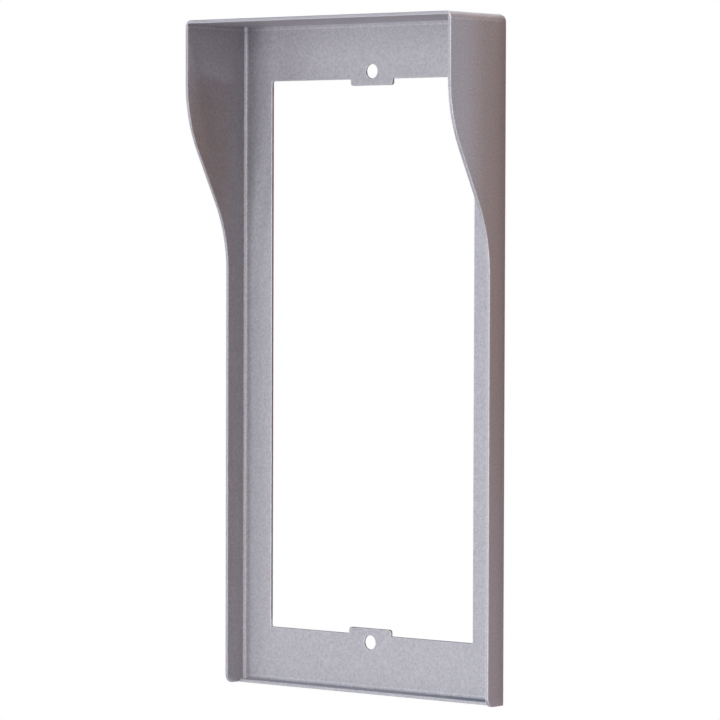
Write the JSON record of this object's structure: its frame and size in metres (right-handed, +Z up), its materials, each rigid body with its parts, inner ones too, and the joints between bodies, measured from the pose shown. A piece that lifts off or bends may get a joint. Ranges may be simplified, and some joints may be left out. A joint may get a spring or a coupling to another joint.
{
  "type": "video doorbell rain hood",
  "caption": "Folded sheet-metal rain hood with a tall window, S-curved cheeks, a roof and a short bottom lip, screwed to a wall round a door station.",
  "frame": {"origin": "halfway between the two screw holes, in the wall plane (the plate's back face)", "axes": "+Z up, +X to the right as seen from in front of the wall, -Y out of the wall towards the visitor"},
  "size_m": [0.112, 0.0308, 0.224],
  "materials": {
    "coated_steel": "fine-textured silver-grey metallic powder coat"
  },
  "bodies": {
    "root": {"back_plate": "coated_steel", "left_cheek": "coated_steel", "right_cheek": "coated_steel", "roof": "coated_steel", "bottom_lip": "coated_steel", "left_corner_weld": "coated_steel", "right_corner_weld": "coated_steel"}
  },
  "joints": []
}
